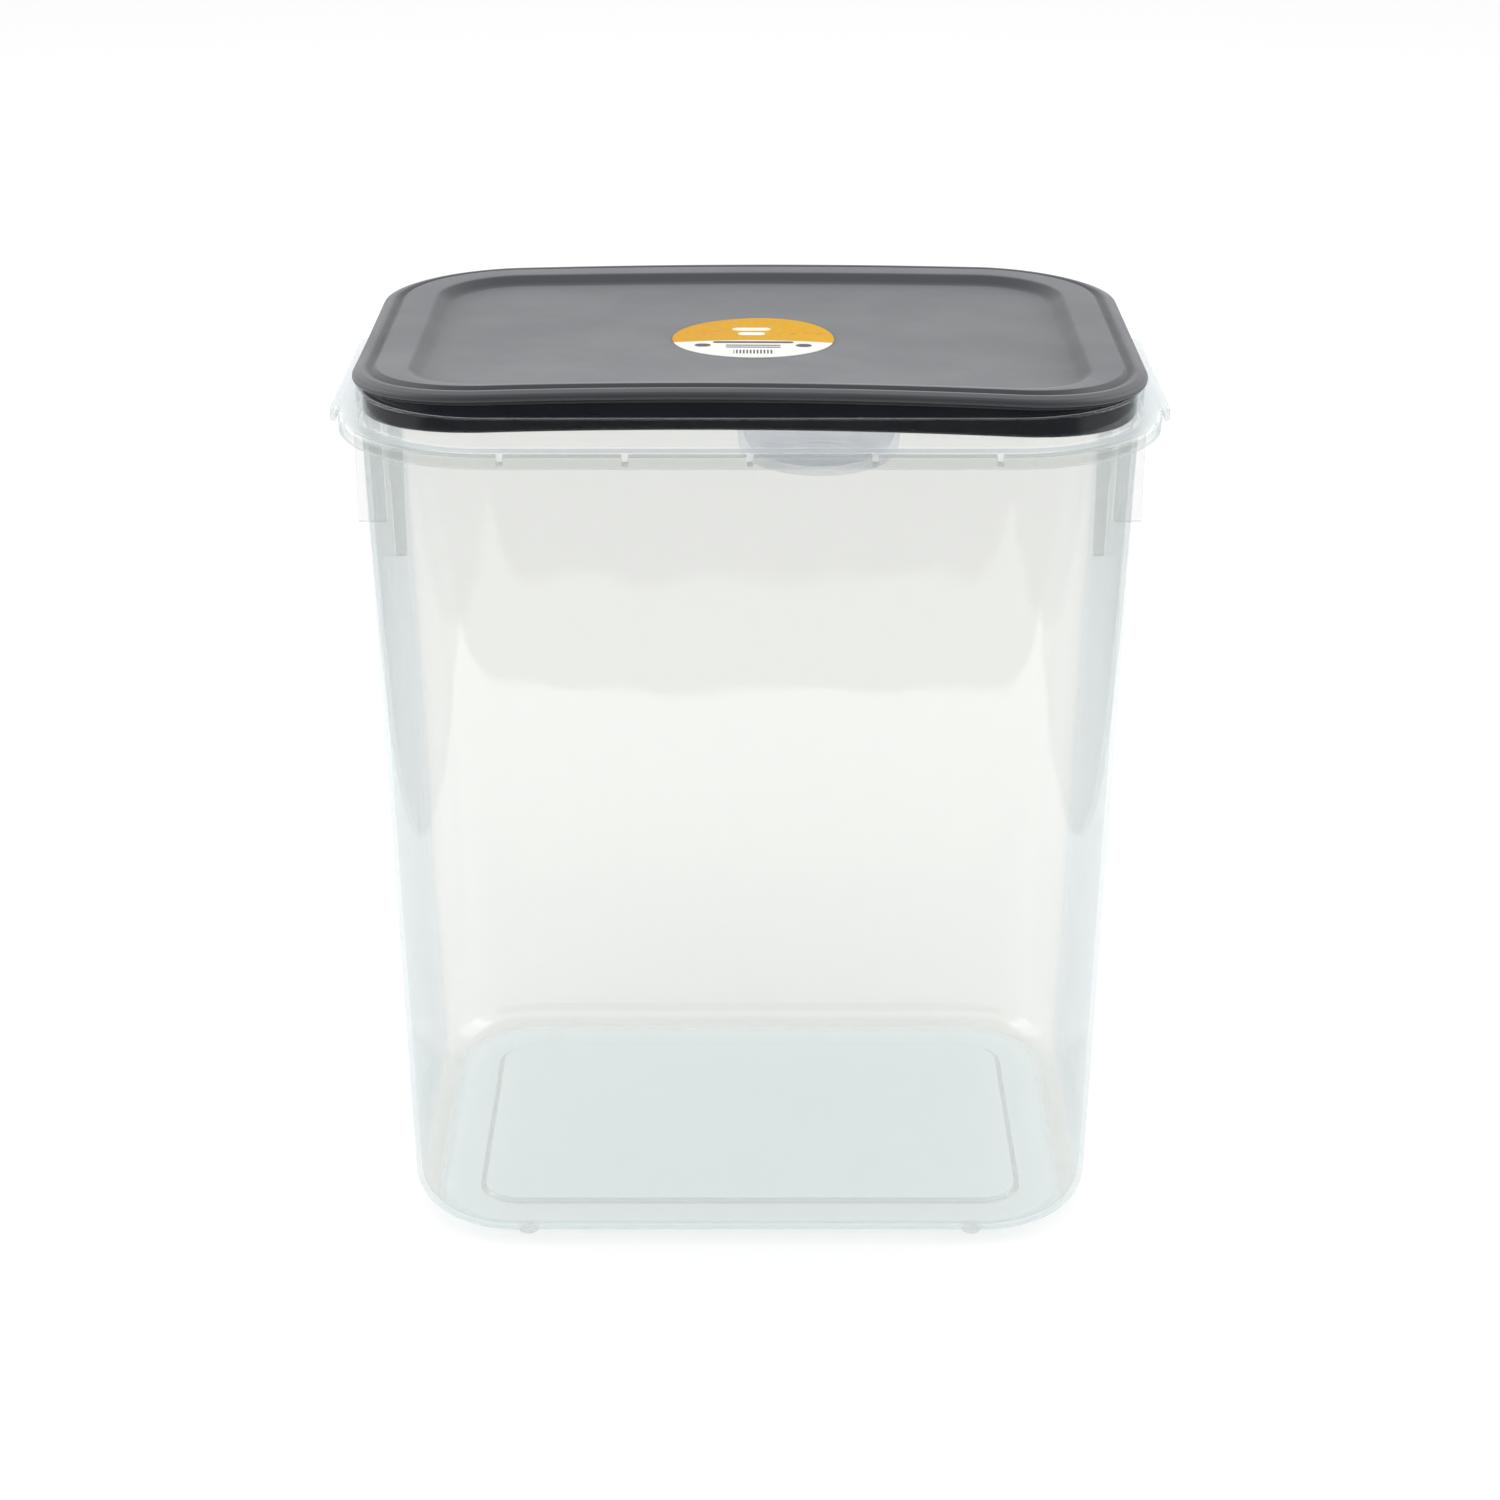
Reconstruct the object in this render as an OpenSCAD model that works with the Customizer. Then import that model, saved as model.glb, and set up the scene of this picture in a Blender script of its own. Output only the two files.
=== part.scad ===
// Rectangular food canister with a press-in lid, a seal, a label and a scoop that hangs
// in rails under the lid. Millimetres, +Z up, origin on the floor under the middle.
// Every ring of the tub and the lid is a rounded rectangle round the same four corner
// centres, so one profile of (distance from the corner centre, height) makes each of them.

/* [Tub] */
// Distance between the corner centres, left to right
span_x = 154; // [120:2:200]
// Distance between the corner centres, front to back
span_y = 85; // [60:1:120]
// Corner radius of the tub at its base
base_r = 34.7; // [31:0.1:35]
// Height of the tub's rim above the floor
tub_h = 282.5; // [220:0.5:300]
// Outward slope of the walls, in mm per mm of height
draft = 0.0238; // [0.015:0.0001:0.0242]
// Wall thickness
wall = 1.7; // [1.4:0.1:2]
// Radius of the outer edge round the base
base_fillet = 14.5; // [8:0.5:16]

/* [Rim] */
// Height of the flange's top below the rim
flange_drop = 8.9; // [8.5:0.1:14]
// Corner radius of the flange's outer edge
flange_r = 47.9; // [46.5:0.1:50]
// Height of the flange's hanging lip
lip_h = 4.9; // [4:0.1:7]
// How far the side grips stand out past the flange
grip_out = 3.4; // [3:0.1:8]

/* [Lid] */
// Corner radius of the lid's outer edge
lid_r = 43.2; // [43.2:0.1:45]
// Depth of the plug that goes into the mouth
plug_h = 9.7; // [5:0.1:9.8]
// Corner radius of the sunk panel in the lid's top
panel_r = 24; // [18:0.5:26]
// Width of the round label
label_d = 50.8; // [30:0.1:60]

/* [Scoop] */
// Outer radius of the scoop's bowl at its rim
bowl_r = 28; // [20:0.5:30]
// Depth of the bowl
bowl_h = 37; // [25:0.5:45]
// Place of the bowl's middle, right of the canister's middle
bowl_x = 22; // [18:0.5:26]
// Length of the handle beyond the bowl's rim
handle_l = 72; // [60:1:76]

/* [Hidden] */
$fn = 64;

half_x = span_x / 2;
half_y = span_y / 2;
arc_steps = 8;

// heights
foot_h = 1.6;
flange_z = tub_h - flange_drop;
flange_t = 1.9;
ledge_z = flange_z - flange_t;
lip_z = flange_z - lip_h;
shoulder_z = tub_h + 0.3;
panel_top = shoulder_z + 2;
lid_lip_z = tub_h + 1.4;
seal_roof = tub_h + 2.4;
crown_z = panel_top + 2.8;

// radii round the corner centres
draft_angle = atan(draft);
fillet_r0 = base_r + draft * base_fillet - base_fillet / cos(draft_angle);
collar_r = 42.3;
collar_t = 1.8;
collar_in = collar_r - collar_t;
lip_t = 1.7;
plug_r = collar_in - 0.3;
plug_t = 1.9;

// outer corner radius of the drafted wall at height z
function wall_r(z) = base_r + draft * (z - foot_h);

// points along an arc, from angle a0 to angle a1
function arc(x, z, r, a0, a1, steps = arc_steps) =
    [for (i = [0:steps]) let (a = a0 + (a1 - a0) * i / steps) [x + r * cos(a), z + r * sin(a)]];

// solid swept from a closed (corner radius, height) profile round the rounded rectangle
// whose corner centres are x and y from the middle
module swept(profile, x = half_x, y = half_y) {
    for (quarter = [0:3])
        translate([x * (quarter % 3 == 0 ? 1 : -1), y * (quarter < 2 ? 1 : -1), 0])
            rotate([0, 0, 90 * quarter]) rotate_extrude(angle = 90) polygon(profile);
    for (turn = [0, 180])
        rotate([0, 0, turn]) translate([x, 0, 0])
            rotate([90, 0, 0]) linear_extrude(height = 2 * y, center = true) polygon(profile);
    for (turn = [90, 270])
        rotate([0, 0, turn]) translate([y, 0, 0])
            rotate([90, 0, 0]) linear_extrude(height = 2 * x, center = true) polygon(profile);
}

// flat slab that closes the middle of a swept solid whose profile starts at radius 0
module middle_slab(z0, z1, x = half_x, y = half_y) {
    translate([-x, -y, z0]) cube([2 * x, 2 * y, z1 - z0]);
}

// ---- tub ----
// the middle of the floor is raised, which leaves a ring that stands on the feet
base_step = 1.2;
base_panel_r = 12;
lip_round = 1.2;
rim_round = collar_t / 2;
tub_outer = concat(
    [[0, foot_h + base_step], [base_panel_r, foot_h + base_step], [base_panel_r + 1.5, foot_h]],
    arc(fillet_r0, foot_h + base_fillet, base_fillet, -90, -draft_angle),
    [[wall_r(ledge_z), ledge_z], [flange_r - lip_t, ledge_z],
     [flange_r - lip_t, lip_z], [flange_r, lip_z]],
    arc(flange_r - lip_round, flange_z - lip_round, lip_round, 0, 90, 4),
    [[collar_r, flange_z]],
    arc(collar_r - rim_round, tub_h - rim_round, rim_round, 0, 180, 6));
tub_inner = concat(
    [[collar_in, ledge_z + 1.2], [wall_r(ledge_z) - wall, ledge_z]],
    arc(fillet_r0, foot_h + base_fillet, base_fillet - wall, -draft_angle, -90),
    [[base_panel_r + 1.5, foot_h + wall], [base_panel_r, foot_h + wall + base_step],
     [0, foot_h + wall + base_step]]);

fin_z = 223.5;
fin_t = 2.4;
fin_out = half_x + flange_r + 1.5;
rib_in = half_x + 34.2;
rib_z = 212;
gusset_pitch = 36.5;
gusset_t = 2;
foot_r = 3.4;

// widened part of the flange on one side, which a hand lifts by, with its own lip
module side_grip() {
    inner_x = half_x + flange_r - 3;
    outer_x = half_x + flange_r + grip_out;
    end_y = half_y - 1;
    round_r = 4;
    difference() {
        linear_extrude(height = lip_h) union() {
            translate([inner_x, -end_y]) square([outer_x - inner_x - round_r, 2 * end_y]);
            translate([inner_x, -end_y + round_r])
                square([outer_x - inner_x, 2 * (end_y - round_r)]);
            for (s = [-1, 1])
                translate([outer_x - round_r, s * (end_y - round_r)]) circle(r = round_r);
        }
        translate([inner_x - 1, -end_y + lip_t, -1])
            cube([outer_x - inner_x + 1 - lip_t, 2 * (end_y - lip_t), lip_h + 1 - flange_t]);
    }
}

// thin upright fin from x0 to x1 whose lower outer corner is rounded
module upright_fin(x0, x1, z0, z1, thick) {
    round_r = 1.2;
    rotate([90, 0, 0]) linear_extrude(height = thick, center = true) difference() {
        translate([x0, z0]) square([x1 - x0, z1 - z0]);
        difference() {
            translate([x1 - round_r, z0 - 1]) square([round_r + 1, round_r + 1]);
            translate([x1 - round_r, z0 + round_r]) circle(r = round_r, $fn = 32);
        }
    }
}

module tub_shell() {
    swept(concat(tub_outer, tub_inner));
    middle_slab(foot_h + base_step, foot_h + base_step + wall);
}

module canister_body() {
    color([0.90, 0.92, 0.92, 0.45]) union() {
        tub_shell();
        for (turn = [0, 180]) rotate([0, 0, turn]) {
            translate([0, 0, lip_z]) side_grip();
            // fin under the grip, and the rib inside the wall behind it
            upright_fin(half_x + wall_r(fin_z) - wall / 2, fin_out, fin_z, ledge_z + 0.5, fin_t);
            translate([rib_in, -fin_t / 2, rib_z])
                cube([half_x + wall_r(rib_z) - wall / 2 - rib_in, fin_t, ledge_z - 4 - rib_z]);
        }
        // gussets between the wall and the hanging lip, front and back
        for (turn = [0, 180], i = [-2:2]) rotate([0, 0, turn])
            translate([i * gusset_pitch - gusset_t / 2, -half_y - flange_r + lip_t / 2, lip_z + 0.6])
                cube([gusset_t, flange_r - lip_t / 2 - wall_r(lip_z) + wall / 2, lip_h - 1]);
        // feet
        for (sx = [-1, 1], sy = [-1, 1])
            translate([sx * (half_x - 4), sy * (half_y + 24.5), 0]) cylinder(r = foot_r, h = foot_h + 2);
    }
}

// ---- lid ----
// the raised crown, the groove outside it and the rounded ring along the edge
crown_r = lid_r - 7.4;
ring_z = crown_z - 0.6;
groove_z = ring_z - 0.9;
lid_top = concat(
    [[0, crown_z], [crown_r, crown_z], [crown_r + 0.5, crown_z - 0.3], [crown_r + 1.2, groove_z],
     [crown_r + 2, groove_z], [crown_r + 3, ring_z - 0.15], [crown_r + 3.5, ring_z],
     [crown_r + 4.4, ring_z]],
    arc(lid_r - 1.7, lid_lip_z + 1.3, 1.7, 60, -55, 6),
    [[lid_r - 1.1, lid_lip_z]]);
// the panel is sunk inside the crown, which is narrowest at the front
pocket_x = half_x - 1.5;
pocket_y = half_y + 3.5;
pocket_shift = -2.5;
pocket_over = 1;
pocket = [[0, panel_top], [panel_r, panel_top], [panel_r + 0.8, panel_top + 0.3],
    [panel_r + 2.2, crown_z - 0.5], [panel_r + 3, crown_z], [panel_r + 3, crown_z + pocket_over],
    [0, crown_z + pocket_over]];
lid_under = [
    [lid_r - 1.1, seal_roof], [plug_r, seal_roof],
    [plug_r, lid_lip_z - plug_h + 0.8], [plug_r - 0.6, lid_lip_z - plug_h],
    [plug_r - plug_t + 0.5, lid_lip_z - plug_h], [plug_r - plug_t, lid_lip_z - plug_h + 0.6],
    [plug_r - plug_t, shoulder_z], [0, shoulder_z]];

handle_w = 16;
handle_t = 3;
handle_gap = 0.4;
handle_top = shoulder_z - 0.9;
handle_z = handle_top - handle_t;
rail_x = bowl_x - bowl_r - handle_l / 2 - 4;
rail_l = 14;
rail_t = 2;
rail_lip = 1.4;

// one of the two rails that the scoop's handle slides into
module scoop_rail() {
    rail_y = handle_w / 2 + handle_gap;
    foot_z = handle_z - handle_gap - rail_t;
    translate([rail_x - rail_l / 2, rail_y, foot_z])
        cube([rail_l, rail_t, shoulder_z + 0.5 - foot_z]);
    translate([rail_x - rail_l / 2, rail_y - rail_lip, foot_z])
        cube([rail_l, rail_lip + rail_t, rail_t]);
}

module lid() {
    color([0.30, 0.31, 0.33]) union() {
        difference() {
            union() {
                swept(concat(lid_top, lid_under));
                middle_slab(shoulder_z, crown_z);
            }
            translate([0, pocket_shift, 0]) {
                swept(pocket, pocket_x, pocket_y);
                middle_slab(panel_top, crown_z + pocket_over, pocket_x, pocket_y);
            }
        }
        scoop_rail();
        mirror([0, 1, 0]) scoop_rail();
    }
}

// flat ring in the channel over the plug, which the tub's rim presses on
seal_gap = 0.3;
module seal_ring() {
    z0 = tub_h + seal_gap;
    r0 = plug_r;
    r1 = lid_r - 1.1;
    color([0.20, 0.21, 0.22])
        swept([[r0, z0 + 0.4], [r0 + 0.4, z0], [r1 - 0.4, z0], [r1, z0 + 0.4], [r1, seal_roof],
               [r0, seal_roof]]);
}

label_t = 0.25;
module label() {
    color([0.93, 0.72, 0.25])
        translate([1, -4, panel_top]) cylinder(d = label_d, h = label_t, $fn = 96);
}

// ---- scoop ----
bowl_wall = 1.6;
bowl_top = shoulder_z - 0.4;
bowl_z = bowl_top - bowl_h;
bowl_fillet = 9;
bowl_draft = 0.075;
bowl_floor_r = bowl_r - bowl_h * bowl_draft;
bowl_slope = atan(bowl_draft);
bowl_arc_r = bowl_floor_r + bowl_fillet * bowl_draft - bowl_fillet / cos(bowl_slope);

module scoop() {
    handle_end = bowl_x - bowl_r - handle_l;
    outline = concat(
        [[0, bowl_z]],
        arc(bowl_arc_r, bowl_z + bowl_fillet, bowl_fillet, -90, -bowl_slope),
        [[bowl_r, bowl_top - 2.2], [bowl_r + 1.8, bowl_top - 1.8], [bowl_r + 1.8, bowl_top - 0.5],
         [bowl_r + 1.3, bowl_top], [bowl_r - bowl_wall, bowl_top]],
        arc(bowl_arc_r, bowl_z + bowl_fillet, bowl_fillet - bowl_wall, -bowl_slope, -90),
        [[0, bowl_z + bowl_wall]]);
    color([0.52, 0.56, 0.60]) difference() {
        union() {
            translate([bowl_x, 0, 0]) rotate_extrude() polygon(outline);
            translate([handle_end + handle_w / 2, -handle_w / 2, handle_z])
                cube([handle_l - handle_w / 2 + 4, handle_w, handle_t]);
            translate([handle_end + handle_w / 2, 0, handle_z]) cylinder(d = handle_w, h = handle_t);
        }
        translate([bowl_x, 0, handle_z - 1])
            cylinder(r = bowl_r - bowl_wall - 0.2, h = handle_t + 2);
    }
}

canister_body();
lid();
seal_ring();
label();
scoop();
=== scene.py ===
import math

import bmesh
import bpy
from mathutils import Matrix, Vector


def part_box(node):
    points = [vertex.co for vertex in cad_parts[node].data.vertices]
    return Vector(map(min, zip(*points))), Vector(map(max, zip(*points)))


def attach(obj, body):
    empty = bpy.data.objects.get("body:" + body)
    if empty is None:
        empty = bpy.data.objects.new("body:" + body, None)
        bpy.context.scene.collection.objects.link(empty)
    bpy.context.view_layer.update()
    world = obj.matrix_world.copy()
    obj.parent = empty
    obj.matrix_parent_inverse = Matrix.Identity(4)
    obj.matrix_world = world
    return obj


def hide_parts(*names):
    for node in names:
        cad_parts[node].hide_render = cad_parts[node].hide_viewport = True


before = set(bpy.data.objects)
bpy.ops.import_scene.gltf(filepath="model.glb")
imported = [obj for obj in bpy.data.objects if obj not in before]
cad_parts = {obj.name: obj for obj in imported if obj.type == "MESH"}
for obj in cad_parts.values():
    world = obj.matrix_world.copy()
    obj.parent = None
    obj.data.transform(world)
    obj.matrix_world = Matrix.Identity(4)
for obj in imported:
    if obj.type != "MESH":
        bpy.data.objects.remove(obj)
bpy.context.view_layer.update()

# ---------------------------------------------------------------- sizes, in metres
MM = 0.001
tub_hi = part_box("canister_body")[1]
lid_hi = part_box("lid")[1]
seal_lo, seal_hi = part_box("seal_ring")
label_lo, label_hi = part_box("label")
scoop_lo, scoop_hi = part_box("scoop")

# every ring of the tub and the lid is a rounded rectangle round these corner centres
HALF_X = 77 * MM
HALF_Y = 42.5 * MM

FOOT_H = 1.6 * MM
WALL = 1.7 * MM
BASE_R = 34.7 * MM
BASE_FILLET = 14.5 * MM
BASE_STEP = 1.2 * MM
BASE_PANEL_R = 12 * MM
DRAFT = 0.0238
RIM_Z = tub_hi.z
FLANGE_Z = RIM_Z - 8.9 * MM
LEDGE_Z = FLANGE_Z - 1.9 * MM
LIP_Z = FLANGE_Z - 4.9 * MM
FLANGE_R = tub_hi.y - HALF_Y
LIP_T = 1.7 * MM
GRIP_OUT = tub_hi.x - HALF_X - FLANGE_R
COLLAR_R = 42.3 * MM
COLLAR_IN = COLLAR_R - 1.8 * MM

LID_R = lid_hi.x - HALF_X
LID_TOP = lid_hi.z
PLUG_R = COLLAR_IN - 0.3 * MM
PLUG_T = 1.9 * MM
PLUG_Z = RIM_Z + 1.4 * MM - 9.7 * MM
PANEL_R = 24 * MM
PANEL_TOP = label_lo.z
PANEL_UNDER = PANEL_TOP - 2 * MM
LID_LIP_Z = RIM_Z + 1.4 * MM
SEAL_ROOF = seal_hi.z
# the raised crown, the groove outside it and the rounded ring along the lid's edge
CROWN_R = LID_R - 7.4 * MM
RING_Z = LID_TOP - 0.6 * MM
GROOVE_Z = RING_Z - 0.9 * MM
# the corner centres of the sunk panel
POCKET_X = HALF_X - 1.5 * MM
POCKET_Y = HALF_Y + 3.5 * MM
POCKET_SHIFT = -2.5 * MM


def wall_r(z):
    """Outer corner radius of the drafted wall at height z."""
    return BASE_R + DRAFT * (z - FOOT_H)


def smooth(t):
    t = min(max(t, 0.0), 1.0)
    return t * t * (3 - 2 * t)


# ---------------------------------------------------------------- camera, light and floor
CAMERA_Y = -0.9387
CAMERA_Z = 0.5313
CAMERA_PITCH = 22.44
FOCAL_PX = 3050
FRAME_PX = 1500


def add_camera():
    camera = bpy.data.cameras.new("camera")
    camera.sensor_width = 36
    camera.lens = FOCAL_PX / FRAME_PX * camera.sensor_width
    view = bpy.data.objects.new("camera", camera)
    view.location = (0, CAMERA_Y, CAMERA_Z)
    view.rotation_euler = (math.radians(90 - CAMERA_PITCH), 0, 0)
    bpy.context.scene.collection.objects.link(view)
    bpy.context.scene.camera = view


def add_softbox(name, place, aim, size, power, tint=(1, 1, 1)):
    light = bpy.data.lights.new(name, "AREA")
    light.shape = "RECTANGLE"
    light.size, light.size_y = size
    light.energy = power
    light.color = tint
    lamp = bpy.data.objects.new(name, light)
    lamp.location = place
    lamp.rotation_euler = (Vector(aim) - Vector(place)).to_track_quat("-Z", "Y").to_euler()
    bpy.context.scene.collection.objects.link(lamp)


def add_world(strength):
    world = bpy.data.worlds.new("studio")
    bpy.context.scene.world = world
    world.use_nodes = True
    tree = Tree(world.node_tree)
    sky = tree.add("ShaderNodeBackground", Color=(1, 1, 1, 1), Strength=strength)
    tree.add("ShaderNodeOutputWorld", Surface=sky.outputs["Background"])


def add_flag(name, corners, shade):
    """A dark card that only mirrors see, as the dark part of a studio shows in a glossy wall."""
    bm = bmesh.new()
    bm.faces.new([bm.verts.new(c) for c in corners])
    card = to_object(bm, name)
    made, tree = material(name)
    glow = tree.add("ShaderNodeEmission", Color=(1, 1, 1, 1), Strength=shade)
    tree.add("ShaderNodeOutputMaterial", Surface=glow.outputs[0])
    card.data.materials.append(made)
    card.visible_camera = False
    card.visible_diffuse = False
    card.visible_transmission = False
    card.visible_shadow = False


# where the pale ground ends, as the front wall mirrors it
TABLE_EDGE = -0.518
CARD_Z = 0.001


def lay_card(name, xs, ys, shade):
    """A dark card lying just above the floor."""
    corners = [(xs[0], ys[0], CARD_Z), (xs[1], ys[0], CARD_Z), (xs[1], ys[1], CARD_Z), (xs[0], ys[1], CARD_Z)]
    add_flag(name, corners, shade)


class Tree:
    """Short calls for building a node tree."""

    def __init__(self, tree):
        self.tree = tree
        tree.nodes.clear()

    def add(self, kind, settings=None, **inputs):
        node = self.tree.nodes.new(kind)
        for key, value in (settings or {}).items():
            setattr(node, key, value)
        for key, value in inputs.items():
            self.feed(node, key.replace("_", " "), value)
        return node

    def feed(self, node, key, value):
        socket = node.inputs[key]
        if isinstance(value, bpy.types.NodeSocket):
            self.tree.links.new(value, socket)
        else:
            socket.default_value = value

    def math(self, operation, *values):
        node = self.tree.nodes.new("ShaderNodeMath")
        node.operation = operation
        for place, value in enumerate(values):
            self.feed(node, place, value)
        return node.outputs[0]

    def ramp_value(self, value, from_min, from_max, to_min, to_max):
        node = self.add("ShaderNodeMapRange", {"interpolation_type": "SMOOTHSTEP"}, Value=value)
        limits = {"From Min": from_min, "From Max": from_max, "To Min": to_min, "To Max": to_max}
        for key, number in limits.items():
            self.feed(node, key, number)
        return node.outputs[0]

    def noise(self, where, scale, detail=2.0):
        node = self.add("ShaderNodeTexNoise", Vector=where, Scale=scale, Detail=detail)
        return node.outputs["Fac"]

    def mix(self, share, a, b):
        node = self.tree.nodes.new("ShaderNodeMix")
        node.data_type = "RGBA"
        self.feed(node, 0, share)
        for socket, value in ((node.inputs[6], a), (node.inputs[7], b)):
            if isinstance(value, bpy.types.NodeSocket):
                self.tree.links.new(value, socket)
            else:
                socket.default_value = value
        return node.outputs[2]

    def bump(self, height, strength, distance, normal=None):
        node = self.add("ShaderNodeBump", Height=height, Strength=strength, Distance=distance)
        if normal is not None:
            self.feed(node, "Normal", normal)
        return node.outputs["Normal"]


def material(name):
    made = bpy.data.materials.new(name)
    made.use_nodes = True
    return made, Tree(made.node_tree)


# ---------------------------------------------------------------- mesh building
def rounded(points, steps=6):
    """An open outline whose corners given as (x, z, radius) become arcs."""
    out = []
    for i, point in enumerate(points):
        if len(point) == 2:
            out.append((point[0], point[1]))
            continue
        here = Vector(point[:2])
        back = Vector(points[i - 1][:2]) - here
        ahead = Vector(points[i + 1][:2]) - here
        half = back.angle(ahead) / 2
        reach = min(point[2] / math.tan(half), 0.49 * back.length, 0.49 * ahead.length)
        radius = reach * math.tan(half)
        start = here + back.normalized() * reach
        end = here + ahead.normalized() * reach
        centre = here + (back.normalized() + ahead.normalized()).normalized() * (radius / math.sin(half))
        a0 = math.atan2(start.y - centre.y, start.x - centre.x)
        turn = (math.atan2(end.y - centre.y, end.x - centre.x) - a0 + math.pi) % (2 * math.pi) - math.pi
        count = max(2, round(steps * abs(turn) / (math.pi / 2)))
        for k in range(count + 1):
            a = a0 + turn * k / count
            out.append((centre.x + radius * math.cos(a), centre.y + radius * math.sin(a)))
    return out


def side_stops(half, step=6 * MM, fine=None):
    """Places along a straight side from -half to half, closer together where fine asks."""
    count = max(2, round(2 * half / step))
    stops = [-half + 2 * half * i / count for i in range(count + 1)]
    if fine:
        stops += [s * place for place in fine for s in (-1, 1)]
    stops = sorted(stops)
    kept = [stops[0]]
    for stop in stops[1:]:
        if stop - kept[-1] > 0.15 * MM:
            kept.append(stop)
    kept[-1] = half
    return kept


GRIP_ENDS = [HALF_Y - k * 0.5 * MM for k in range(1, 11)]
STOPS_Y = side_stops(HALF_Y, fine=GRIP_ENDS)
STOPS_X = side_stops(HALF_X)


def stations(steps=24):
    """(base x, base y, outward x, outward y) round the rounded rectangle, anticlockwise."""
    out = []
    for turn in range(4):
        a0 = turn * math.pi / 2
        side = STOPS_Y if turn % 2 == 0 else STOPS_X
        reach = HALF_X if turn % 2 == 0 else HALF_Y
        n = Vector((round(math.cos(a0)), round(math.sin(a0))))
        along = Vector((-n.y, n.x))
        for stop in side:
            base = n * reach + along * stop
            out.append((base.x, base.y, n.x, n.y))
        corner = n * reach + along * side[-1]
        for k in range(1, steps):
            a = a0 + math.pi / 2 * k / steps
            out.append((corner.x, corner.y, math.cos(a), math.sin(a)))
    return out


STATIONS = stations()


def swept(profile, closed, bulge=None, centres=None):
    """bmesh swept from an outline of (corner radius, height) round the rounded rectangle. An open outline
    starts and ends at radius 0, where a flat grid closes it. The shape can be widened by bulge, and centres
    can move the corner centres of part of it."""
    bm = bmesh.new()
    rings = []
    for r, z in profile:
        ring = []
        kx, ky, shift = centres(r, z) if centres else (1.0, 1.0, 0.0)
        for x, y, nx, ny in STATIONS:
            out = r + (bulge(r, y, nx) if bulge else 0.0)
            ring.append(bm.verts.new((kx * x + nx * out, ky * y + ny * out + shift, z)))
        rings.append(ring)
    if closed:
        rings.append(rings[0])
    count = len(STATIONS)
    for a, b in zip(rings, rings[1:]):
        for i in range(count):
            j = (i + 1) % count
            bm.faces.new((a[i], a[j], b[j], b[i]))
    if not closed:
        for z in (profile[0][1], profile[-1][1]):
            grid = [[bm.verts.new((x, y, z)) for x in STOPS_X] for y in STOPS_Y]
            for row, above in zip(grid, grid[1:]):
                for i in range(len(row) - 1):
                    bm.faces.new((row[i], row[i + 1], above[i + 1], above[i]))
    bmesh.ops.remove_doubles(bm, verts=bm.verts, dist=0.01 * MM)
    bmesh.ops.dissolve_degenerate(bm, edges=bm.edges, dist=0.005 * MM)
    bmesh.ops.recalc_face_normals(bm, faces=bm.faces)
    return bm


def add_block(bm, lo, hi, bevel):
    """A box with softened edges, added to bm."""
    made = bmesh.ops.create_cube(bm, size=1)["verts"]
    lo, hi = Vector(lo), Vector(hi)
    for v in made:
        v.co = (lo + hi) / 2 + Vector(c * s for c, s in zip(v.co, hi - lo))
    edges = list({e for v in made for e in v.link_edges})
    bmesh.ops.bevel(bm, geom=edges, offset=bevel, segments=3, profile=0.5, affect="EDGES")


def revolved(outline, place, steps=96):
    """bmesh turned from an outline of (radius, height) that starts and ends on the axis."""
    bm = bmesh.new()
    rings = []
    for r, z in outline:
        if r < 1e-6:
            rings.append([bm.verts.new((place[0], place[1], z))] * steps)
            continue
        ring = []
        for k in range(steps):
            a = 2 * math.pi * k / steps
            ring.append(bm.verts.new((place[0] + r * math.cos(a), place[1] + r * math.sin(a), z)))
        rings.append(ring)
    for a, b in zip(rings, rings[1:]):
        for i in range(steps):
            j = (i + 1) % steps
            corners = list(dict.fromkeys((a[i], a[j], b[j], b[i])))
            if len(corners) > 2:
                bm.faces.new(corners)
    bmesh.ops.recalc_face_normals(bm, faces=bm.faces)
    return bm


def to_object(bm, name):
    mesh = bpy.data.meshes.new(name)
    bm.to_mesh(mesh)
    bm.free()
    made = bpy.data.objects.new(name, mesh)
    bpy.context.scene.collection.objects.link(made)
    return made


def combine(piece, extra, operation="UNION"):
    """Applies an exact boolean of extra to piece, and removes extra."""
    step = piece.modifiers.new("combine", "BOOLEAN")
    step.operation = operation
    step.solver = "EXACT"
    step.object = extra
    bpy.context.view_layer.update()
    result = bpy.data.meshes.new_from_object(piece.evaluated_get(bpy.context.evaluated_depsgraph_get()))
    piece.modifiers.clear()
    piece.data = result
    bpy.data.objects.remove(extra)


def finish_piece(piece, look, body, node, sharp=38):
    mesh = piece.data
    mesh.shade_smooth()
    mesh.set_sharp_from_angle(angle=math.radians(sharp))
    even = piece.modifiers.new("even_normals", "WEIGHTED_NORMAL")
    even.keep_sharp = True
    mesh.materials.clear()
    mesh.materials.append(look)
    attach(piece, body)
    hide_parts(node)


# ---------------------------------------------------------------- tub
GUSSET_PITCH = 36.5 * MM
GUSSET_T = 2 * MM
FIN_T = 2.4 * MM
FIN_Z = 223.5 * MM
FIN_OUT = HALF_X + FLANGE_R + 1.5 * MM
RIB_IN = HALF_X + 34.2 * MM
RIB_Z = 212 * MM
FOOT_R = 3.4 * MM


def grip_bulge(r, y, nx):
    """Widens the flange's lip along the straight part of the left and right sides."""
    if r < FLANGE_R - 2.5 * MM or abs(nx) < 0.999:
        return 0.0
    return GRIP_OUT * smooth((HALF_Y - 0.6 * MM - abs(y)) / (3 * MM))


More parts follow.
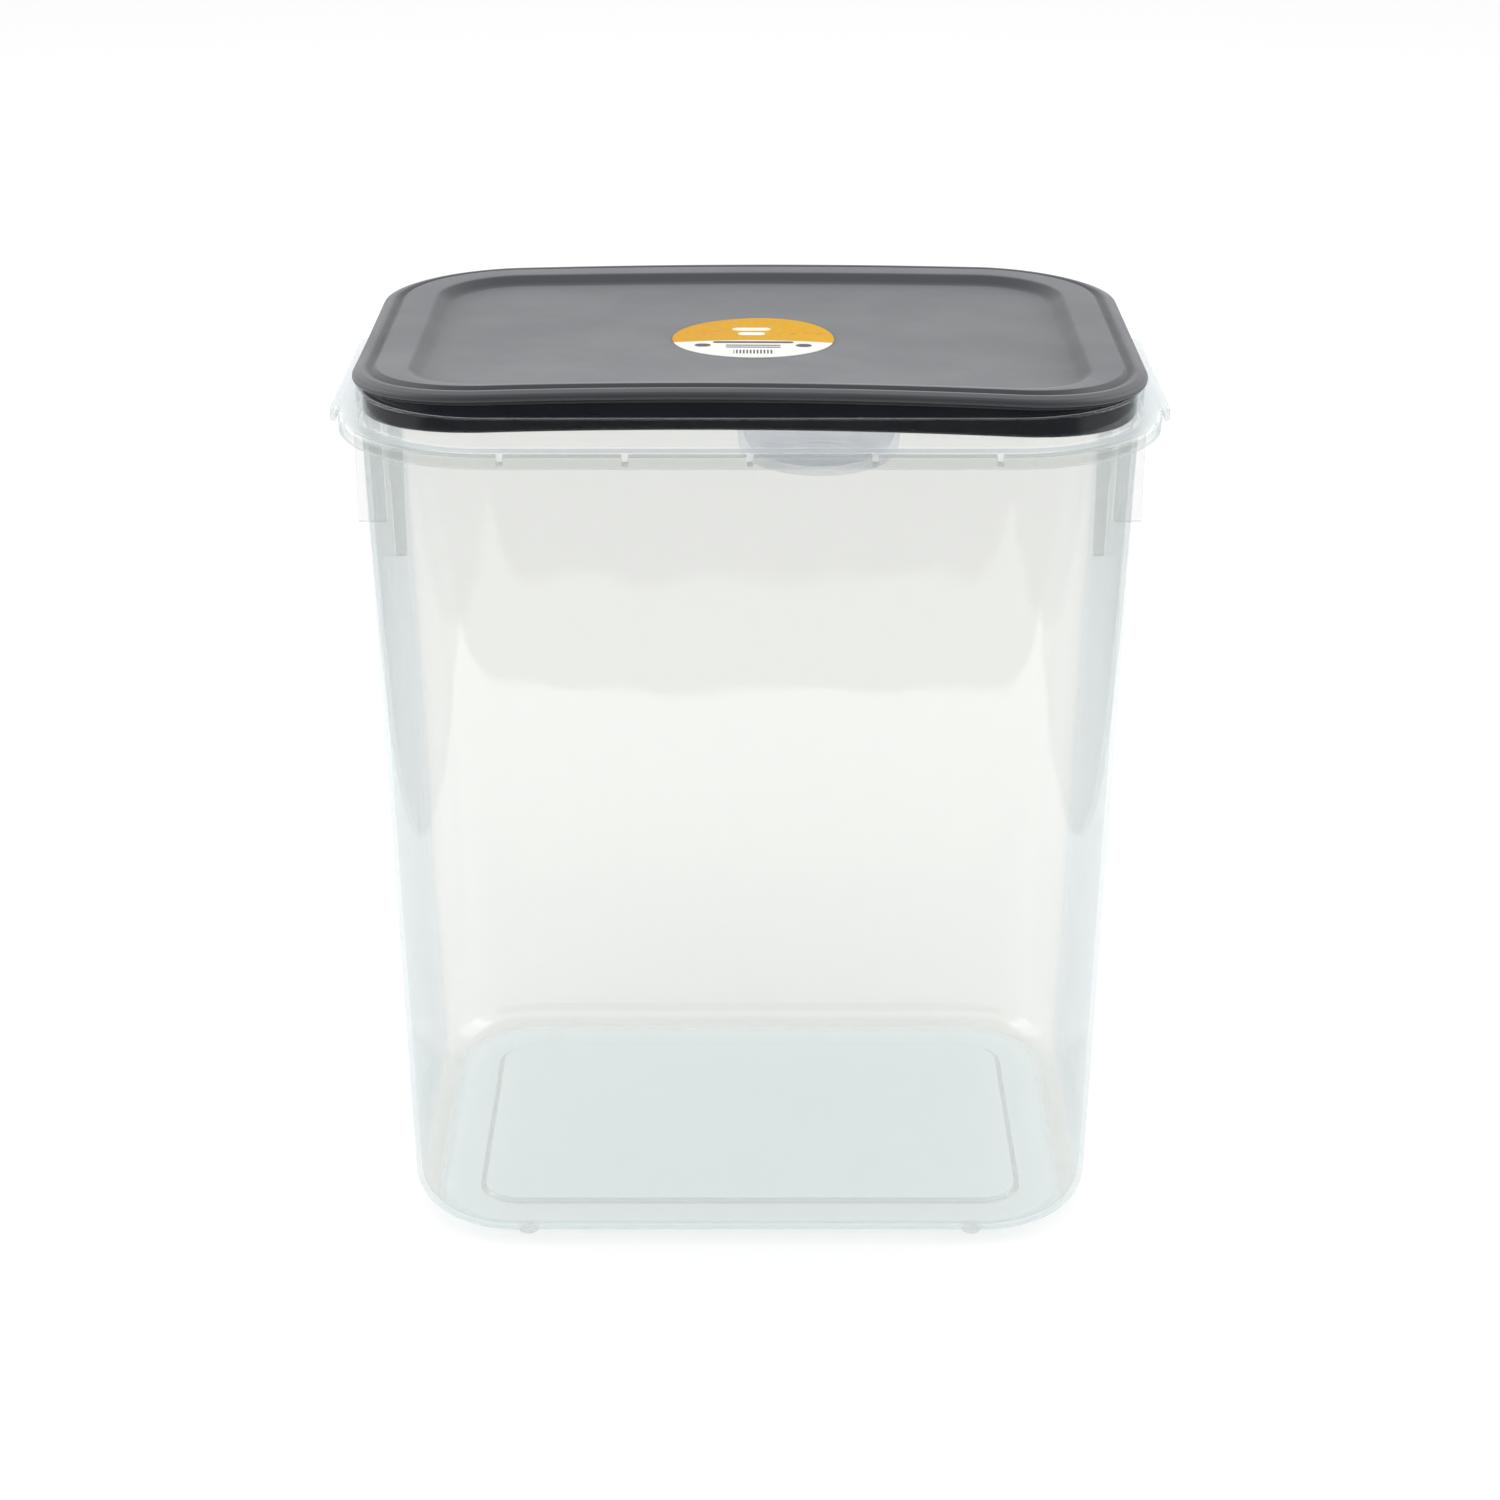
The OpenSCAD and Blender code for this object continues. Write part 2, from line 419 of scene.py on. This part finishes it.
def build_tub():
    inner_top = wall_r(LEDGE_Z) - WALL
    profile = rounded([
        (0, FOOT_H + BASE_STEP),
        (BASE_PANEL_R, FOOT_H + BASE_STEP, 1 * MM),
        (BASE_PANEL_R + 1.8 * MM, FOOT_H, 1 * MM),
        (BASE_R, FOOT_H, BASE_FILLET),
        (wall_r(LEDGE_Z), LEDGE_Z, 0.9 * MM),
        (FLANGE_R - LIP_T, LEDGE_Z, 0.8 * MM),
        (FLANGE_R - LIP_T, LIP_Z, 0.4 * MM),
        (FLANGE_R, LIP_Z, 0.5 * MM),
        (FLANGE_R, FLANGE_Z, 1.3 * MM),
        (COLLAR_R, FLANGE_Z, 0.9 * MM),
        (COLLAR_R, RIM_Z, 0.85 * MM),
        (COLLAR_IN, RIM_Z, 0.85 * MM),
        (COLLAR_IN, LEDGE_Z + 1.2 * MM, 0.7 * MM),
        (inner_top, LEDGE_Z, 0.9 * MM),
        (BASE_R - WALL, FOOT_H + WALL, BASE_FILLET - WALL),
        (BASE_PANEL_R + 1.8 * MM, FOOT_H + WALL, 1 * MM),
        (BASE_PANEL_R, FOOT_H + WALL + BASE_STEP, 1 * MM),
        (0, FOOT_H + WALL + BASE_STEP),
    ])
    tub = to_object(swept(profile, closed=False, bulge=grip_bulge), "canister_tub")
    extra = bmesh.new()
    sunk = 0.6 * MM
    for side in (-1, 1):
        def span(x0, x1, y, z0, z1, bevel):
            xs = sorted((side * x0, side * x1))
            add_block(extra, (xs[0], -y, z0), (xs[1], y, z1), bevel)
        span(HALF_X + wall_r(FIN_Z) - sunk, FIN_OUT, FIN_T / 2, FIN_Z, LEDGE_Z + sunk, 0.4 * MM)
        span(RIB_IN, HALF_X + wall_r(RIB_Z) - WALL + sunk, FIN_T / 2, RIB_Z, LEDGE_Z - 3.5 * MM, 0.4 * MM)
        for i in range(-2, 3):
            middle = i * GUSSET_PITCH
            y0 = HALF_Y + wall_r(LIP_Z) - sunk
            y1 = HALF_Y + FLANGE_R - LIP_T + sunk
            ys = sorted((side * y0, side * y1))
            add_block(extra, (middle - GUSSET_T / 2, ys[0], LIP_Z + 0.5 * MM),
                      (middle + GUSSET_T / 2, ys[1], LEDGE_Z + sunk), 0.3 * MM)
        for front in (-1, 1):
            foot = rounded([(0, 0), (FOOT_R, 0, 0.7 * MM), (FOOT_R, 3.2 * MM, 0.2 * MM), (0, 3.2 * MM)], 4)
            turned = revolved(foot, (side * (HALF_X - 4 * MM), front * (HALF_Y + 24.5 * MM)), 32)
            scratch = bpy.data.meshes.new("foot")
            turned.to_mesh(scratch)
            turned.free()
            extra.from_mesh(scratch)
            bpy.data.meshes.remove(scratch)
    combine(tub, to_object(extra, "tub_extras"))
    return tub


# ---------------------------------------------------------------- lid
def lid_bow(x, y, lowest=-0.6):
    """How far the soft lid stands up from flat. It bows up along the front, less along the back, and
    sinks a little at its sides, where the rim of the tub stops it at the lowest value, in mm."""
    a = x / (120 * MM)
    b = y / (80 * MM)
    rise = -0.4 * a - 1.5 * a * a - 1.5 * b + 2.4 * b * b
    rise += 0.6 * a * b + 0.5 * a * a * b - 1.4 * a * a * b * b
    softness = 0.35
    over = (rise - lowest) / softness
    return (lowest + softness * (over if over > 30 else math.log1p(math.exp(over)))) * MM


def bend(piece):
    for v in piece.data.vertices:
        v.co.z += lid_bow(v.co.x, v.co.y)


def pocket_centres(r, z):
    """Shares of the corner centres' x and y, and a shift in y, at a point of the lid's outline: the sunk
    panel has its own, and across the crown they go over to the lid's."""
    if z < PANEL_TOP - 0.01 * MM or r < 1 * MM:
        return 1.0, 1.0, 0.0
    start, end = 28.6 * MM, 35 * MM
    own = min(max((end - r) / (end - start), 0.0), 1.0)
    return 1 + own * (POCKET_X / HALF_X - 1), 1 + own * (POCKET_Y / HALF_Y - 1), own * POCKET_SHIFT


def build_lid():
    under = PANEL_UNDER
    profile = rounded([
        (0, PANEL_TOP),
        (PANEL_R - 0.6 * MM, PANEL_TOP, 4 * MM),
        (PANEL_R + 3 * MM, LID_TOP, 2.2 * MM),
        (31 * MM, LID_TOP),
        (33 * MM, LID_TOP),
        (CROWN_R, LID_TOP, 0.7 * MM),
        (CROWN_R + 1.3 * MM, GROOVE_Z, 0.6 * MM),
        (CROWN_R + 2 * MM, GROOVE_Z, 0.6 * MM),
        (CROWN_R + 3.4 * MM, RING_Z, 1.2 * MM),
        (CROWN_R + 4.6 * MM, RING_Z, 1.5 * MM),
        (LID_R - 0.5 * MM, LID_LIP_Z + 2.3 * MM, 1.2 * MM),
        (LID_R, LID_LIP_Z + 1.2 * MM, 1.2 * MM),
        (LID_R - 0.3 * MM, LID_LIP_Z + 0.1 * MM, 0.5 * MM),
        (LID_R - 1.3 * MM, LID_LIP_Z, 0.3 * MM),
        (LID_R - 1.5 * MM, SEAL_ROOF, 0.2 * MM),
        (PLUG_R, SEAL_ROOF, 0.5 * MM),
        (PLUG_R, PLUG_Z, 0.9 * MM),
        (PLUG_R - PLUG_T, PLUG_Z, 0.6 * MM),
        (PLUG_R - PLUG_T, under, 1.2 * MM),
        (0, under),
    ], 5)
    return to_object(swept(profile, closed=False, centres=pocket_centres), "canister_lid")


HANDLE_W = 16 * MM
HANDLE_T = 3 * MM
HANDLE_TOP = PANEL_UNDER - 0.9 * MM
HANDLE_Z = HANDLE_TOP - HANDLE_T
RAIL_X = -46 * MM
RAIL_L = 14 * MM
RAIL_T = 2 * MM
RAIL_LIP = 1.4 * MM


def add_rails(lid):
    extra = bmesh.new()
    rail_y = HANDLE_W / 2 + 0.4 * MM
    foot_z = HANDLE_Z - 0.4 * MM - RAIL_T
    for side in (-1, 1):
        ys = sorted((side * rail_y, side * (rail_y + RAIL_T)))
        add_block(extra, (RAIL_X - RAIL_L / 2, ys[0], foot_z),
                  (RAIL_X + RAIL_L / 2, ys[1], PANEL_UNDER + 0.8 * MM), 0.35 * MM)
        hook = bmesh.new()
        ys = sorted((side * (rail_y - RAIL_LIP), side * (rail_y + 1.0 * MM)))
        add_block(hook, (RAIL_X - RAIL_L / 2 + 0.2 * MM, ys[0], foot_z + 0.05 * MM),
                  (RAIL_X + RAIL_L / 2 - 0.2 * MM, ys[1], foot_z + RAIL_T), 0.35 * MM)
        combine(lid, to_object(hook, "hook"))
    combine(lid, to_object(extra, "rails"))


def polish_and_shade_plug(lid):
    """Gives the faces of the plug, the underside and the rails the polished material, darkened as painted
    shade.
    """
    lid.data.materials.append(shaded_plug_plastic())
    for face in lid.data.polygons:
        if face.center.z < LID_LIP_Z + 0.2 * MM:
            face.material_index = 1


def build_seal():
    low = seal_lo.z
    profile = rounded([
        (PLUG_R + 0.05 * MM, low + 1 * MM),
        (PLUG_R + 0.05 * MM, SEAL_ROOF, 0.4 * MM),
        (LID_R - 1.6 * MM, SEAL_ROOF, 0.4 * MM),
        (LID_R - 1.6 * MM, low, 0.6 * MM),
        (PLUG_R + 0.05 * MM, low, 0.6 * MM),
        (PLUG_R + 0.05 * MM, low + 0.9 * MM),
    ], 4)
    return to_object(swept(profile, closed=True), "lid_seal")


# how strongly the label lifts off the lid at its back right edge
LABEL_CURL = 1.6 * MM


def build_label():
    radius = (label_hi.x - label_lo.x) / 2
    centre = ((label_lo.x + label_hi.x) / 2, (label_lo.y + label_hi.y) / 2)
    top, low = label_hi.z, label_lo.z + 0.02 * MM
    outline = [(0, low)]
    outline += [(radius * k / 10, low) for k in range(1, 11)]
    outline += [(radius, top - 0.03 * MM), (radius - 0.05 * MM, top)]
    outline += [(radius * k / 10, top) for k in range(9, -1, -1)]
    made = to_object(revolved(outline, centre, 128), "lid_label")
    for v in made.data.vertices:
        away = ((v.co.x - centre[0]) * 0.6 + (v.co.y - centre[1]) * 0.8) / radius
        v.co.z += LABEL_CURL * max(away - 0.45, 0.0) ** 2
    return made


def build_scoop():
    bowl_r = scoop_hi.y - 1.8 * MM
    bowl_x = scoop_hi.x - 1.8 * MM - bowl_r
    # the bowed lid sinks a little over the way the scoop slides, so the rim stays just below it
    top, low = scoop_hi.z - 0.5 * MM, scoop_lo.z
    wall = 1.6 * MM
    floor_r = bowl_r - 0.075 * (top - low)
    outline = rounded([
        (0, low + 0.6 * MM),
        (14 * MM, low + 0.6 * MM, 0.6 * MM),
        (14.8 * MM, low, 0.6 * MM),
        (floor_r, low, 9 * MM),
        (bowl_r - 0.1 * MM, top - 2.2 * MM, 0.4 * MM),
        (bowl_r + 1.8 * MM, top - 2.0 * MM, 0.6 * MM),
        (bowl_r + 1.8 * MM, top, 0.8 * MM),
        (bowl_r - wall, top, 0.6 * MM),
        (floor_r - wall, low + wall + 0.6 * MM, 7.4 * MM),
        (0, low + wall + 0.6 * MM),
    ], 8)
    bowl = to_object(revolved(outline, (bowl_x, 0)), "measuring_scoop")
    handle = bmesh.new()
    end_x = scoop_lo.x + HANDLE_W / 2
    root_x = bowl_x - bowl_r + 0.4 * MM
    around = [(root_x, -HANDLE_W / 2)]
    around += [(root_x, HANDLE_W / 2)]
    for k in range(25):
        a = math.pi / 2 + math.pi * k / 24
        around.append((end_x + HANDLE_W / 2 * math.cos(a), HANDLE_W / 2 * math.sin(a)))
    low_ring = [handle.verts.new((x, y, HANDLE_Z)) for x, y in around]
    face = handle.faces.new(low_ring)
    grown = bmesh.ops.extrude_face_region(handle, geom=[face])
    for v in grown["geom"]:
        if isinstance(v, bmesh.types.BMVert):
            v.co.z = HANDLE_TOP
    bmesh.ops.recalc_face_normals(handle, faces=handle.faces)
    flat_edges = [e for e in handle.edges if abs(e.verts[0].co.z - e.verts[1].co.z) < 1e-6]
    bmesh.ops.bevel(handle, geom=flat_edges, offset=0.5 * MM, segments=3, profile=0.5, affect="EDGES")
    combine(bowl, to_object(handle, "handle"))
    return bowl


# ---------------------------------------------------------------- materials
def see_through(tree, normal, rough, tint, deep_tint, milk, shares, mirror_rise):
    """Thin see-through plastic. Seen head on, a wall is nearly clear; seen along its face, the longer way
    through it shows more of its own milky colour, and its surface mirrors more. Its level faces, the floor
    and the flange, are made milkier than its walls as painted light, so that they read lighter in the lid's
    shade. shares: the milky part head on, along the face, and added on level faces as painted light."""
    clear_share, deep_share, painted_light_level_share = shares
    slant = tree.add("ShaderNodeLayerWeight", Blend=0.5, Normal=normal).outputs["Facing"]
    facing_up = tree.add("ShaderNodeTexCoord").outputs["Normal"]
    level = tree.add("ShaderNodeSeparateXYZ", Vector=facing_up).outputs["Z"]
    # painted light: level faces are made milkier, so the floor and the flange read lighter in the lid's shade
    flat = tree.math("MULTIPLY", painted_light_level_share, tree.math("POWER", tree.math("ABSOLUTE", level), 14.0))
    deep = tree.math("MULTIPLY", deep_share, tree.math("POWER", slant, 6.0))
    share = tree.math("ADD", clear_share, tree.math("ADD", flat, deep))
    mirror = tree.math("ADD", 0.04, tree.math("MULTIPLY", mirror_rise, tree.math("POWER", slant, 5.0)))
    passing_tint = tree.mix(tree.math("POWER", slant, 6.0), tint, deep_tint)
    passing = tree.add("ShaderNodeBsdfTransparent", Color=passing_tint)
    body = tree.add("ShaderNodeBsdfPrincipled", Base_Color=milk, Roughness=0.4, Normal=normal)
    gloss = tree.add("ShaderNodeBsdfGlossy", Color=(1, 1, 1, 1), Roughness=rough, Normal=normal)
    inner = tree.add("ShaderNodeMixShader", Fac=share)
    tree.feed(inner, 1, passing.outputs[0])
    tree.feed(inner, 2, body.outputs[0])
    outer = tree.add("ShaderNodeMixShader", Fac=mirror)
    tree.feed(outer, 1, inner.outputs[0])
    tree.feed(outer, 2, gloss.outputs[0])
    lit = tree.add("ShaderNodeBsdfTransparent", Color=(0.974, 0.976, 0.974, 1))
    both = tree.add("ShaderNodeMixShader", Fac=tree.add("ShaderNodeLightPath").outputs["Is Shadow Ray"])
    tree.feed(both, 1, outer.outputs[0])
    tree.feed(both, 2, lit.outputs[0])
    tree.add("ShaderNodeOutputMaterial", Surface=both.outputs[0])


def clear_plastic():
    made, tree = material("clear_plastic")
    where = tree.add("ShaderNodeTexCoord").outputs["Object"]
    normal = tree.bump(tree.noise(where, 26.0, 1.0), 0.12, 0.002)
    normal = tree.bump(tree.noise(where, 900.0, 2.0), 0.015, 0.0004, normal)
    rough = tree.ramp_value(tree.noise(where, 60.0, 3.0), 0.3, 0.7, 0.015, 0.03)
    cloud = tree.noise(where, 14.0, 2.0)
    milk = tree.mix(cloud, (0.88, 0.95, 0.975, 1), (0.90, 0.965, 0.985, 1))
    tint = (0.938, 0.941, 0.933, 1)
    deep_tint = (0.74, 0.79, 0.82, 1)
    see_through(tree, normal, rough, tint, deep_tint, milk, (0.004, 0.40, 0.55), 0.33)
    return made


def lid_plastic():
    made, tree = material("lid_plastic")
    where = tree.add("ShaderNodeTexCoord").outputs["Object"]
    cloud = tree.noise(where, 35.0, 4.0)
    grain = tree.noise(where, 2600.0, 2.0)
    shade = tree.mix(cloud, (0.026, 0.028, 0.033, 1), (0.034, 0.036, 0.042, 1))
    rough = tree.ramp_value(cloud, 0.3, 0.7, 0.46, 0.56)
    normal = tree.bump(grain, 0.35, 0.0002)
    skin = tree.add("ShaderNodeBsdfPrincipled", Base_Color=shade, Roughness=rough, IOR=1.5, Normal=normal)
    skin.inputs["Sheen Weight"].default_value = 0.32
    skin.inputs["Sheen Roughness"].default_value = 0.45
    skin.inputs["Sheen Tint"].default_value = (0.92, 0.96, 1.0, 1)
    tree.add("ShaderNodeOutputMaterial", Surface=skin.outputs[0])
    return made


def shaded_plug_plastic():
    """The lid's plug, moulded smooth and polished; its base colour, darker than the lid's, is painted shade.
    """
    made, tree = material("shaded_plug_plastic")
    where = tree.add("ShaderNodeTexCoord").outputs["Object"]
    cloud = tree.noise(where, 45.0, 3.0)
    # painted shade: the lid's own plastic made darker for the shade under the lid's edge
    shade = tree.mix(cloud, (0.010, 0.012, 0.016, 1), (0.013, 0.015, 0.020, 1))
    rough = tree.ramp_value(cloud, 0.3, 0.7, 0.10, 0.20)
    skin = tree.add("ShaderNodeBsdfPrincipled", Base_Color=shade, Roughness=rough, IOR=1.5,
                    Normal=tree.bump(tree.noise(where, 22.0), 0.2, 0.002))
    tree.add("ShaderNodeOutputMaterial", Surface=skin.outputs[0])
    return made


def seal_rubber():
    made, tree = material("seal_rubber")
    where = tree.add("ShaderNodeTexCoord").outputs["Object"]
    cloud = tree.noise(where, 120.0, 3.0)
    shade = tree.mix(cloud, (0.016, 0.016, 0.018, 1), (0.026, 0.026, 0.028, 1))
    rough = tree.ramp_value(cloud, 0.3, 0.7, 0.42, 0.55)
    skin = tree.add("ShaderNodeBsdfPrincipled", Base_Color=shade, Roughness=rough, IOR=1.43,
                    Normal=tree.bump(tree.noise(where, 1500.0), 0.2, 0.0002))
    tree.add("ShaderNodeOutputMaterial", Surface=skin.outputs[0])
    return made


def label_film():
    """Orange film above, white below, with plain bars where a label would carry print."""
    made, tree = material("label_film")
    radius = (label_hi.x - label_lo.x) / 2
    centre = (label_lo + label_hi) / 2
    where = tree.add("ShaderNodeTexCoord").outputs["Object"]
    axes = tree.add("ShaderNodeSeparateXYZ", Vector=where)
    u = tree.math("DIVIDE", tree.math("SUBTRACT", axes.outputs["X"], centre.x), radius)
    v = tree.math("DIVIDE", tree.math("SUBTRACT", axes.outputs["Y"], centre.y), radius)

    def bar(cu, cv, hu, hv):
        """1 inside a bar with rounded ends round (cu, cv), 0 outside."""
        along = tree.math("ABSOLUTE", tree.math("SUBTRACT", u, cu))
        du = tree.math("MAXIMUM", tree.math("SUBTRACT", along, hu - hv), 0.0)
        dv = tree.math("ABSOLUTE", tree.math("SUBTRACT", v, cv))
        far = tree.math("SQRT", tree.math("ADD", tree.math("POWER", du, 2.0), tree.math("POWER", dv, 2.0)))
        return tree.math("LESS_THAN", far, hv)

    def any_of(shapes):
        total = shapes[0]
        for shape in shapes[1:]:
            total = tree.math("MAXIMUM", total, shape)
        return total

    fibre = tree.noise(where, 700.0, 3.0)
    across = tree.ramp_value(u, -0.9, 0.9, 0.0, 1.0)
    warm = tree.mix(across, (0.63, 0.315, 0.003, 1), (0.65, 0.345, 0.003, 1))
    edge = tree.math("ADD", -0.10, tree.math("MULTIPLY", -0.12, tree.math("POWER", u, 2.0)))
    upper = tree.math("GREATER_THAN", v, edge)
    shade = tree.mix(upper, (0.80, 0.80, 0.77, 1), warm)
    dots = [bar(-0.62 + 0.17 * k, 0.30 + 0.05 * (k % 2), 0.05, 0.05) for k in range(2)]
    dots += [bar(0.50 + 0.16 * k, 0.24 + 0.06 * (k % 2), 0.045, 0.045) for k in range(3)]
    shade = tree.mix(any_of(dots), shade, (0.62, 0.27, 0.03, 1))
    white_bars = [bar(-0.02, 0.47, 0.24, 0.075), bar(-0.02, 0.24, 0.17, 0.075)]
    shade = tree.mix(any_of(white_bars), shade, (0.80, 0.80, 0.78, 1))
    grey_bars = [bar(0.0, -0.20, 0.50, 0.05), bar(0.0, -0.36, 0.34, 0.028), bar(0.0, -0.46, 0.34, 0.028),
                 bar(-0.62, -0.36, 0.10, 0.085), bar(0.62, -0.36, 0.10, 0.085)]
    shade = tree.mix(any_of(grey_bars), shade, (0.10, 0.10, 0.105, 1))
    stripes = tree.math("GREATER_THAN", tree.math("SINE", tree.math("MULTIPLY", u, 150.0)), 0.0)
    block = tree.math("MULTIPLY", tree.math("LESS_THAN", tree.math("ABSOLUTE", u), 0.24),
                      tree.math("LESS_THAN", tree.math("ABSOLUTE", tree.math("ADD", v, 0.70)), 0.10))
    shade = tree.mix(tree.math("MULTIPLY", block, stripes), shade, (0.08, 0.08, 0.085, 1))
    rough = tree.ramp_value(fibre, 0.3, 0.7, 0.34, 0.46)
    skin = tree.add("ShaderNodeBsdfPrincipled", Base_Color=shade, Roughness=rough, IOR=1.5,
                    Normal=tree.bump(fibre, 0.08, 0.0002))
    skin.inputs["Specular IOR Level"].default_value = 0.05
    tree.add("ShaderNodeOutputMaterial", Surface=skin.outputs[0])
    return made


def scoop_plastic():
    made, tree = material("scoop_plastic")
    where = tree.add("ShaderNodeTexCoord").outputs["Object"]
    cloud = tree.noise(where, 70.0, 3.0)
    milk = tree.mix(cloud, (0.70, 0.74, 0.83, 1), (0.75, 0.79, 0.87, 1))
    rough = tree.ramp_value(cloud, 0.3, 0.7, 0.16, 0.28)
    normal = tree.bump(tree.noise(where, 1100.0), 0.06, 0.0002)
    tint = (0.962, 0.970, 0.988, 1)
    deep_tint = (0.93, 0.95, 0.98, 1)
    see_through(tree, normal, rough, tint, deep_tint, milk, (0.03, 0.15, 0.05), 0.08)
    return made


def build_floor():
    bm = bmesh.new()
    bmesh.ops.create_grid(bm, x_segments=1, y_segments=1, size=20)
    floor = to_object(bm, "studio_floor")
    made, tree = material("studio_floor")
    where = tree.add("ShaderNodeTexCoord").outputs["Object"]
    rough = tree.ramp_value(tree.noise(where, 3.0), 0.3, 0.7, 0.85, 0.95)
    skin = tree.add("ShaderNodeBsdfPrincipled", Base_Color=(0.92, 0.92, 0.92, 1), Roughness=rough)
    skin.inputs["Specular IOR Level"].default_value = 0.0
    tree.add("ShaderNodeOutputMaterial", Surface=skin.outputs[0])
    floor.data.materials.append(made)


# ---------------------------------------------------------------- the scene
add_camera()
add_world(1.03)
add_softbox("left_softbox", (-1.6, 0.2, 0.8), (0, 0, 0.1), (1.2, 1.4), 12)
add_softbox("right_softbox", (1.6, 0.2, 0.8), (0, 0, 0.1), (1.2, 1.4), 12)
lay_card("table_edge_card", (-3, 3), (-3, TABLE_EDGE), 0.03)
for side in (-1, 1):
    lay_card("side_card", (side * 0.4, side * 3), (TABLE_EDGE, 1.2), 0.25)
add_flag("front_card", [(-3, -2.2, 0), (3, -2.2, 0), (3, -2.2, 1.6), (-3, -2.2, 1.6)], 0.05)
build_floor()
bpy.context.scene.view_settings.view_transform = "Standard"
# a line of sight through the tub and the scoop crosses up to about twenty see-through surfaces
bpy.context.scene.cycles.transparent_max_bounces = 32

tub = build_tub()
finish_piece(tub, clear_plastic(), "tub", "canister_body")

lid = build_lid()
add_rails(lid)
finish_piece(lid, lid_plastic(), "lid", "lid")
polish_and_shade_plug(lid)
bend(lid)

seal = build_seal()
bend(seal)
finish_piece(seal, seal_rubber(), "lid", "seal_ring")

label = build_label()
bend(label)
finish_piece(label, label_film(), "lid", "label")

scoop = build_scoop()
finish_piece(scoop, scoop_plastic(), "scoop", "scoop")
